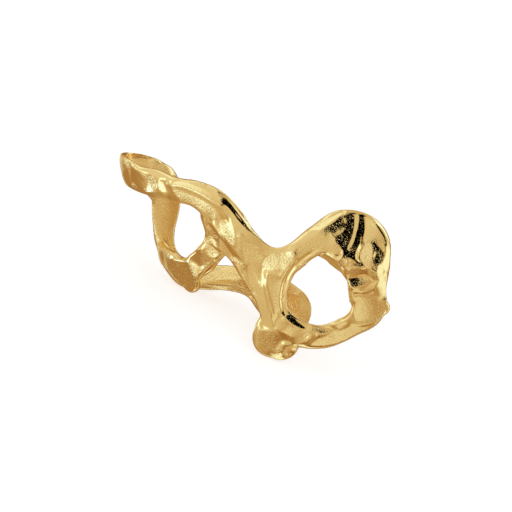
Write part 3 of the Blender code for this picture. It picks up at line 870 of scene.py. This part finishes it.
def hollows(points, width, seed):
    """Round hollows that meet in soft ridges.

    A point's value is the smooth least of its squared distances, in widths, to one random middle in each
    cell of a cubic lattice: minus the log of the sum of exp(-sharpness times distance squared), over the
    sharpness.
    """
    jitter = np.random.default_rng(seed).uniform(*JITTER, size=(LATTICE, LATTICE, LATTICE, 3))
    scaled = points / width
    base = np.floor(scaled).astype(int)
    total = np.zeros(len(points))
    for step in np.ndindex(3, 3, 3):
        cell = base + np.array(step) - 1
        seat = cell % LATTICE
        middle = jitter[seat[:, 0], seat[:, 1], seat[:, 2]]
        total += np.exp(-SHARPNESS * ((scaled - cell - middle) ** 2).sum(axis=1))
    return -np.log(total) / SHARPNESS


def depth_inside(spots, outline):
    """How deep inside the smoothed outline each spot lies, less than 0 outside.

    A spot is inside when a ray from it to the right crosses the outline an odd number of times.
    """
    chain = smooth_path(np.column_stack([outline, np.zeros(len(outline))]), True, OUTLINE_SPACING)[:, :2]
    ends = np.roll(chain, -1, axis=0)
    inside = np.zeros(len(spots), bool)
    nearest = np.full(len(spots), np.inf)
    for start, end in zip(chain, ends):
        piece = end - start
        offset = spots - start
        along = np.clip(offset @ piece / (piece @ piece), 0, 1)
        nearest = np.minimum(nearest, np.linalg.norm(offset - along[:, None] * piece, axis=1))
        if piece[1]:
            crossing = start[0] + offset[:, 1] / piece[1] * piece[0]
            inside ^= ((start[1] > spots[:, 1]) != (end[1] > spots[:, 1])) & (spots[:, 0] < crossing)
    return np.where(inside, nearest, -nearest)


def wanted_slopes(points, allowed, flats):
    """For each point: how much it belongs to flats, the slope that they want there, and how grainy it is.

    A flat's slope is (-tan yaw, -tan pitch over cos yaw). A point's share of a flat goes from 0 to 1
    across the flat's edge. Between flats the grain is in patches, where noise passes a threshold.
    """
    held = np.zeros(len(points))
    patches = PATCH_STEEPNESS * noise(points, PATCH_LENGTH, PATCH_SEED) - PATCH_START
    grain = PATCH_GRAIN * np.clip(patches, 0, 1)
    slopes = np.zeros((len(points), 2))
    reach = np.flatnonzero(allowed > 0)
    for flat in flats:
        depth = np.full(len(points), -np.inf)
        depth[reach] = depth_inside(points[reach, :2], flat.outline)
        share = np.clip(0.5 + depth / FLAT_EDGE, 0, 1)
        yaw, pitch = math.radians(flat.yaw), math.radians(flat.pitch)
        slope = np.array((-math.tan(yaw), -math.tan(pitch) / math.cos(yaw)))
        slopes += share[:, None] * (slope - slopes)
        grain += np.clip(0.5 + depth / GRAIN_EDGE, 0, 1) * (flat.grain - grain)
        held = np.maximum(held, share)
    return held * allowed, slopes, grain


def settle(points, edges, held, slopes, tie):
    """Moves in depth that give the held points their wanted slopes.

    The moves make least the sum over edges of weight times the square of the move's rise along the edge
    minus the rise that is missing there, plus the sum over points of tie times the square of the move.
    That sum's normal equations are solved by conjugate gradients.
    """
    a, b = edges.T
    count = len(points)
    share = (held[a] + held[b]) / 2
    run = points[b, :2] - points[a, :2]
    missing = share * ((run * (slopes[a] + slopes[b]) / 2).sum(axis=1) - (points[b, 2] - points[a, 2]))
    weight = LOOSE + (1 - LOOSE) * share

    def pulled(rise):
        flow = weight * rise
        return np.bincount(b, flow, count) - np.bincount(a, flow, count)

    scale = tie + np.bincount(a, weight, count) + np.bincount(b, weight, count)
    move = np.zeros(count)
    left = pulled(missing)
    eased = left / scale
    search = eased.copy()
    energy = left @ eased
    for _ in range(SOLVER_ROUNDS):
        answer = tie * search + pulled(search[b] - search[a])
        step = energy / (search @ answer)
        move += step * search
        left -= step * answer
        eased = left / scale
        fresh = left @ eased
        search = eased + fresh / energy * search
        energy = fresh
    return move


def neighbour_mean(values, edges):
    """Each point's mean of the values at the points that an edge joins it to."""
    count = np.bincount(edges.ravel(), minlength=len(values))
    total = np.zeros_like(values)
    for a, b in (edges.T, edges.T[::-1]):
        for axis in range(values.shape[1]):
            total[:, axis] += np.bincount(a, weights=values[b, axis], minlength=len(values))
    return total / count[:, None]


def hollowness(points, normals, edges):
    """How hollow the surface is at each point: how far its blurred neighbourhood lies in front of it."""
    blurred = points
    for _ in range(EDGE_PASSES):
        blurred = neighbour_mean(blurred, edges)
    depth = ((blurred - points) * normals).sum(axis=1)
    return depth / np.percentile(np.abs(depth), HOLLOW_PERCENT)


def melt_joints(points, edges):
    """The points blurred round the joints: each round moves them towards their neighbours' mean."""
    molten = np.zeros(len(points))
    for joint in JOINTS:
        away = np.linalg.norm(points - (joint.across, joint.up, joint.proud), axis=1)
        molten = np.maximum(molten, np.clip(JOINT_FADE - JOINT_FADE * away / joint.radius, 0, 1))
    for _ in range(JOINT_ROUNDS):
        points = points + molten[:, None] * (neighbour_mean(points, edges) - points)
    return points


def hammered_lift(points, share):
    """Height of the shallow hollows at each point, about their mean, times its share of them."""
    lift = np.zeros(len(points))
    for hollow in HOLLOWS:
        depth = hollows(points, hollow.width, hollow.seed)
        lift += hollow.depth * (depth - depth.mean()) * share
    return lift


def cuff_mesh(shape):
    """The finished casting in metres at rest, and its shift from the front view's frame.

    The relief is added in turn: hammered hollows, then flats, then folds, a dent and waves. The attributes
    hollow, grain and dull tell the finish how sunk and how grainy a point is, and how far on an inner face;
    the finish paints shade, a deeper gold, where a point is sunk or on an inner face.
    """
    mesh = fused_strands(shape.voxel, shape.melt)
    edges = np.empty(len(mesh.edges) * 2, np.int32)
    mesh.edges.foreach_get("vertices", edges)
    edges = edges.reshape(-1, 2)
    points = melt_joints(column(mesh.vertices, "co", 3), edges)
    normals = normals_of(mesh, points)
    facing = np.clip(normals[:, 2] * FRONT_FADE, 0, 1)
    front = facing * (points[:, 2] > FRONT_LIMIT)
    behind = facing * (points[:, 2] <= FRONT_LIMIT)
    rims = 1 - EDGE_KEEP * np.clip(-hollowness(points, normals, edges), 0, 1)
    points += normals * (shape.waves * rims * hammered_lift(points, 1 - facing))[:, None]
    held, slopes, grain = wanted_slopes(points, front, FRONT_FLATS)
    held_behind, slopes_behind, grain_behind = wanted_slopes(points, behind, BACK_FLATS)
    slopes = np.where((held_behind > held)[:, None], slopes_behind, slopes)
    held = np.maximum(held, held_behind)
    tie = np.where(normals[:, 2] < BACK_TURN, BACK_TIE, FRONT_TIE + (SIDE_TIE - FRONT_TIE) * (1 - facing))
    points[:, 2] += shape.relief * settle(points, edges, held, slopes, tie)
    spots = points[:, :2]
    lift = shape.relief * front * (fold_lift(spots, FRONT_FOLDS) + dent_lift(spots, FRONT_DENTS))
    for wave in WAVES:
        calmed = shape.waves * rims * (1 - FLAT_CALM * held)
        lift += calmed * wave.height * noise(points, wave.length, wave.seed)
    normals = normals_of(mesh, points)
    points += normals * lift[:, None]
    for _ in range(LAST_ROUNDS):
        points += LAST_SHARE * (neighbour_mean(points, edges) - points)
    normals = normals_of(mesh, points)
    # hollow and the inner-face share also say where the finish paints shade
    for name, values in (
        ("hollow", hollowness(points, normals, edges)),
        ("grain", np.where(front > 0, grain * front, np.maximum(grain_behind, BACK_GRAIN) * behind)),
        ("dull_and_shaded", behind),
    ):
        attribute = mesh.attributes.new(name, "FLOAT", "POINT")
        attribute.data.foreach_set("value", values.astype(np.float32))
    turned = points @ rest_turn().T * MM
    middle = (turned.min(axis=0) + turned.max(axis=0)) / 2
    box_low, box_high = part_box(NODE)
    shift = np.array((box_low + box_high) / 2) - middle
    shift[2] = box_low.z - turned[:, 2].min()
    mesh.vertices.foreach_set("co", (turned + shift).ravel())
    mesh.update()
    mesh.shade_smooth()
    return mesh, shift


def place_of_front(shift):
    """The front view's frame as a matrix at rest."""
    return Matrix.Translation(shift) @ Matrix(rest_turn().tolist()).to_4x4()


def new_group(name, inputs, outputs):
    """A shader node group with named inputs and outputs and nothing between them."""
    group = bpy.data.node_groups.new(name, "ShaderNodeTree")
    for label, kind, value in inputs:
        socket = group.interface.new_socket(name=label, in_out="INPUT", socket_type=kind)
        if value is not None:
            socket.default_value = value
    for label, kind in outputs:
        group.interface.new_socket(name=label, in_out="OUTPUT", socket_type=kind)
    group.nodes.new("NodeGroupInput")
    group.nodes.new("NodeGroupOutput")
    return group


def add(tree, kind, settings=(), values=()):
    """A new node with its settings and its unlinked sockets' values."""
    node = tree.nodes.new(kind)
    for name, value in dict(settings).items():
        setattr(node, name, value)
    for name, value in dict(values).items():
        node.inputs[name].default_value = value
    return node


def cast_grain_group():
    """Fine grain of the mould: its height where the skin is that grainy.

    Height is soft fine noise, plus sparse specks where the noise passes a threshold, plus the rims of
    small pits, all times how grainy the place is, so polished places stay smooth.
    """
    group = new_group(
        "cast grain",
        [("Vector", "NodeSocketVector", None), ("Amount", "NodeSocketFloat", 0.0)],
        [("Height", "NodeSocketFloat")],
    )
    enter, leave = group.nodes["Group Input"], group.nodes["Group Output"]
    link = group.links.new
    fine = add(
        group, "ShaderNodeTexNoise", {},
        {"Scale": GRAIN_SCALE, "Detail": GRAIN_DETAIL, "Roughness": GRAIN_ROUGHNESS},
    )
    link(enter.outputs["Vector"], fine.inputs["Vector"])
    specks = add(
        group, "ShaderNodeMapRange", {"interpolation_type": "SMOOTHSTEP"},
        {"From Min": SPECK_START, "From Max": SPECK_FULL, "To Max": SPECK_HEIGHT},
    )
    link(fine.outputs["Fac"], specks.inputs["Value"])
    pits = add(
        group, "ShaderNodeTexVoronoi", {"feature": "SMOOTH_F1"},
        {"Scale": PIT_SCALE, "Smoothness": PIT_SMOOTHNESS},
    )
    link(enter.outputs["Vector"], pits.inputs["Vector"])
    rough = add(group, "ShaderNodeMath", {"operation": "MULTIPLY_ADD"}, {1: PIT_DEPTH})
    link(pits.outputs["Distance"], rough.inputs[0])
    link(fine.outputs["Fac"], rough.inputs[2])
    mixed = add(group, "ShaderNodeMath", {"operation": "ADD"})
    link(rough.outputs[0], mixed.inputs[0])
    link(specks.outputs["Result"], mixed.inputs[1])
    masked = add(group, "ShaderNodeMath", {"operation": "MULTIPLY"})
    link(mixed.outputs[0], masked.inputs[0])
    link(enter.outputs["Amount"], masked.inputs[1])
    link(masked.outputs[0], leave.inputs["Height"])
    return group


def painted_hollow_shade_group():
    """Painted shade by relief: the crests' colour, going over to a deeper, shaded gold as the surface sinks
    into hollows.
    """
    group = new_group(
        "painted hollow shade",
        [
            ("Hollow", "NodeSocketFloat", 0.0),
            ("Crest colour", "NodeSocketColor", (1, 1, 1, 1)),
            ("Shaded colour", "NodeSocketColor", (0, 0, 0, 1)),
        ],
        [("Colour", "NodeSocketColor")],
    )
    enter, leave = group.nodes["Group Input"], group.nodes["Group Output"]
    link = group.links.new
    share = add(
        group, "ShaderNodeMapRange", {"interpolation_type": "SMOOTHSTEP"},
        {"From Min": SHADE_START, "From Max": SHADE_FULL},
    )
    link(enter.outputs["Hollow"], share.inputs["Value"])
    mix = add(group, "ShaderNodeMix", {"data_type": "RGBA"})
    link(share.outputs["Result"], mix.inputs["Factor"])
    link(enter.outputs["Crest colour"], mix.inputs["A"])
    link(enter.outputs["Shaded colour"], mix.inputs["B"])
    link(mix.outputs["Result"], leave.inputs["Colour"])
    return group


def gold_material(finish):
    """Polished yellow gold plate: grainy in patches, duller on the inner faces, and with painted shade, a
    deeper gold, in hollows and on the inner faces.
    """
    material = bpy.data.materials.new("gold")
    material.use_nodes = True
    tree = material.node_tree
    link = tree.links.new
    shader = tree.nodes["Principled BSDF"]
    shader.inputs["Metallic"].default_value = 1.0
    place = add(tree, "ShaderNodeTexCoord")
    hollow = add(tree, "ShaderNodeAttribute", {"attribute_name": "hollow"})
    grainy = add(tree, "ShaderNodeAttribute", {"attribute_name": "grain"})
    grain = add(tree, "ShaderNodeGroup", {"node_tree": cast_grain_group()})
    link(place.outputs["Object"], grain.inputs["Vector"])
    link(grainy.outputs["Fac"], grain.inputs["Amount"])
    # Painted shade node: crest gold going over to the shaded gold
    tone = add(
        tree, "ShaderNodeGroup", {"node_tree": painted_hollow_shade_group()},
        {"Crest colour": (*finish.gold, 1), "Shaded colour": (*finish.shaded_gold, 1)},
    )
    # Painted shade: the gold deepens where the surface is sunk, and more on the inner faces, which are also
    # duller
    dull_and_shaded = add(tree, "ShaderNodeAttribute", {"attribute_name": "dull_and_shaded"})
    sunk = add(tree, "ShaderNodeMath", {"operation": "MULTIPLY_ADD"}, {1: INNER_SHADE})
    link(dull_and_shaded.outputs["Fac"], sunk.inputs[0])
    link(hollow.outputs["Fac"], sunk.inputs[2])
    link(sunk.outputs[0], tone.inputs["Hollow"])
    link(tone.outputs["Colour"], shader.inputs["Base Color"])
    gloss = add(
        tree, "ShaderNodeMapRange", {},
        {"To Min": finish.roughness, "To Max": finish.dull_roughness},
    )
    link(dull_and_shaded.outputs["Fac"], gloss.inputs["Value"])
    link(gloss.outputs["Result"], shader.inputs["Roughness"])
    bump = add(tree, "ShaderNodeBump", {}, {"Strength": 1.0, "Distance": finish.grain})
    link(grain.outputs["Height"], bump.inputs["Height"])
    link(bump.outputs["Normal"], shader.inputs["Normal"])
    return material


def floor_material(colour):
    """A pale matt floor that glows a little towards the camera, so that its shadows stay faint."""
    material = bpy.data.materials.new("floor")
    material.use_nodes = True
    tree = material.node_tree
    shader = tree.nodes["Principled BSDF"]
    shader.inputs["Roughness"].default_value = FLOOR_ROUGHNESS
    shader.inputs["Specular IOR Level"].default_value = FLOOR_SPECULAR
    shader.inputs["Base Color"].default_value = (*colour, 1)
    shader.inputs["Emission Color"].default_value = (1, 1, 1, 1)
    path = add(tree, "ShaderNodeLightPath")
    glow = add(tree, "ShaderNodeMath", {"operation": "MULTIPLY"}, {1: FLOOR_GLOW})
    tree.links.new(path.outputs["Is Camera Ray"], glow.inputs[0])
    tree.links.new(glow.outputs[0], shader.inputs["Emission Strength"])
    return material


def studio_world(turn, glow):
    """A white room with brighter panels, shades and one dark card, as a function of the direction alone.

    A panel's middle is the viewing direction mirrored in a surface of its yaw and pitch, and its light
    fades by a smooth step of the cosine of the angle from there. Only mirrored rays see the panels.
    """
    world = bpy.data.worlds.new("studio")
    world.use_nodes = True
    tree = world.node_tree
    link = tree.links.new
    ground = tree.nodes["Background"]
    place = add(tree, "ShaderNodeTexCoord")
    total = add(tree, "ShaderNodeValue")
    total.outputs[0].default_value = ROOM
    light = total.outputs[0]
    for panel in PANELS:
        yaw, pitch = math.radians(panel.yaw), math.radians(panel.pitch)
        mirror = np.array(
            (math.sin(yaw) * math.cos(pitch), math.sin(pitch), math.cos(yaw) * math.cos(pitch))
        )
        direction = turn @ (2 * mirror[2] * mirror - (0, 0, 1))
        facing = add(tree, "ShaderNodeVectorMath", {"operation": "DOT_PRODUCT"}, {1: tuple(direction)})
        link(place.outputs["Generated"], facing.inputs[0])
        shape = add(
            tree, "ShaderNodeMapRange", {"interpolation_type": "SMOOTHSTEP"},
            {
                "From Min": math.cos(math.radians(panel.outer)),
                "From Max": math.cos(math.radians(panel.inner)),
                "To Max": panel.light,
            },
        )
        link(facing.outputs["Value"], shape.inputs["Value"])
        summed = add(tree, "ShaderNodeMath", {"operation": "ADD", "label": panel.name})
        link(light, summed.inputs[0])
        link(shape.outputs["Result"], summed.inputs[1])
        light = summed.outputs[0]
    kept = add(tree, "ShaderNodeMath", {"operation": "MAXIMUM"}, {1: 0.0})
    link(light, kept.inputs[0])
    colour = add(tree, "ShaderNodeCombineColor")
    for channel, tint in enumerate(WARMTH):
        gained = add(tree, "ShaderNodeMath", {"operation": "MULTIPLY"}, {1: tint.gain})
        warmed = add(tree, "ShaderNodeMath", {"operation": "POWER"}, {1: tint.power})
        link(kept.outputs[0], gained.inputs[0])
        link(gained.outputs[0], warmed.inputs[0])
        link(warmed.outputs[0], colour.inputs[channel])
    path = add(tree, "ShaderNodeLightPath")
    seen = add(tree, "ShaderNodeMix", {"data_type": "RGBA"}, {"A": (ROOM, ROOM, ROOM, 1)})
    link(path.outputs["Is Glossy Ray"], seen.inputs["Factor"])
    link(colour.outputs[0], seen.inputs["B"])
    link(seen.outputs["Result"], ground.inputs["Color"])
    ground.inputs["Strength"].default_value = glow
    return world


def floor_mesh():
    """A flat square at height 0: a grid of points at even steps across and deep."""
    steps = np.linspace(-FLOOR_HALF, FLOOR_HALF, FLOOR_STEPS)
    across, deep = np.meshgrid(steps, steps, indexing="ij")
    points = np.column_stack([across.ravel(), deep.ravel(), np.zeros(across.size)])
    index = np.arange(across.size).reshape(across.shape)
    faces = np.stack([index[:-1, :-1], index[1:, :-1], index[1:, 1:], index[:-1, 1:]], axis=-1)
    mesh = bpy.data.meshes.new("floor")
    mesh.from_pydata(points.tolist(), [], faces.reshape(-1, 4).tolist())
    return mesh


class CUFF_OT_casting(bpy.types.Operator):
    """Make the cuff's casting and its gold finish"""

    bl_idname = "ear_cuff.casting"
    bl_label = "Casting"

    def execute(self, context):
        mesh, shift = cuff_mesh(context.scene.cuff_shape)
        mesh.name = "cuff_casting"
        casting = bpy.data.objects.new("cuff_casting", mesh)
        context.scene.collection.objects.link(casting)
        mesh.materials.append(gold_material(context.scene.cuff_finish))
        casting["front_shift"] = shift.tolist()
        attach(casting, "root")
        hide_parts(NODE)
        return {"FINISHED"}


class CUFF_OT_stage(bpy.types.Operator):
    """Make the floor, the light and the camera"""

    bl_idname = "ear_cuff.stage"
    bl_label = "Studio"

    def execute(self, context):
        studio = context.scene.cuff_studio
        casting = bpy.data.objects.get("cuff_casting")
        if casting is None:
            raise RuntimeError("The studio is set up round the casting, so make the casting first.")
        front = place_of_front(Vector(casting["front_shift"]))
        floor = bpy.data.objects.new("floor", floor_mesh())
        context.scene.collection.objects.link(floor)
        floor.data.materials.append(floor_material(studio.floor))
        floor.visible_glossy = False
        context.scene.world = studio_world(rest_turn(), studio.glow)
        camera = bpy.data.objects.new("camera", bpy.data.cameras.new("camera"))
        context.scene.collection.objects.link(camera)
        camera.data.lens = studio.lens
        distance = studio.frame_width * studio.lens / camera.data.sensor_width
        camera.data.clip_start = distance / CLIP_SPAN
        camera.data.clip_end = distance * CLIP_SPAN
        camera.matrix_world = front @ Matrix.Translation((0, 0, distance))
        context.scene.camera = camera
        context.scene.view_settings.view_transform = "Standard"
        return {"FINISHED"}


class CUFF_PT_panel(bpy.types.Panel):
    """The cuff's sizes, finish and studio"""

    bl_label = "Ear cuff"
    bl_idname = "CUFF_PT_panel"
    bl_space_type = "VIEW_3D"
    bl_region_type = "UI"
    bl_category = "Ear cuff"

    def draw(self, context):
        for settings, operator in (
            (context.scene.cuff_shape, "ear_cuff.casting"),
            (context.scene.cuff_finish, None),
            (context.scene.cuff_studio, "ear_cuff.stage"),
        ):
            box = self.layout.box()
            for name in settings.__annotations__:
                box.prop(settings, name)
            if operator:
                box.operator(operator)


CLASSES = (CuffShape, CuffFinish, CuffStudio, CUFF_OT_casting, CUFF_OT_stage, CUFF_PT_panel)


def register():
    for kind in CLASSES:
        bpy.utils.register_class(kind)
    bpy.types.Scene.cuff_shape = bpy.props.PointerProperty(type=CuffShape)
    bpy.types.Scene.cuff_finish = bpy.props.PointerProperty(type=CuffFinish)
    bpy.types.Scene.cuff_studio = bpy.props.PointerProperty(type=CuffStudio)


def unregister():
    del bpy.types.Scene.cuff_studio
    del bpy.types.Scene.cuff_finish
    del bpy.types.Scene.cuff_shape
    for kind in reversed(CLASSES):
        bpy.utils.unregister_class(kind)


def main():
    """Makes every piece and the studio."""
    register()
    bpy.ops.ear_cuff.casting()
    bpy.ops.ear_cuff.stage()


if __name__ == "__main__":
    main()
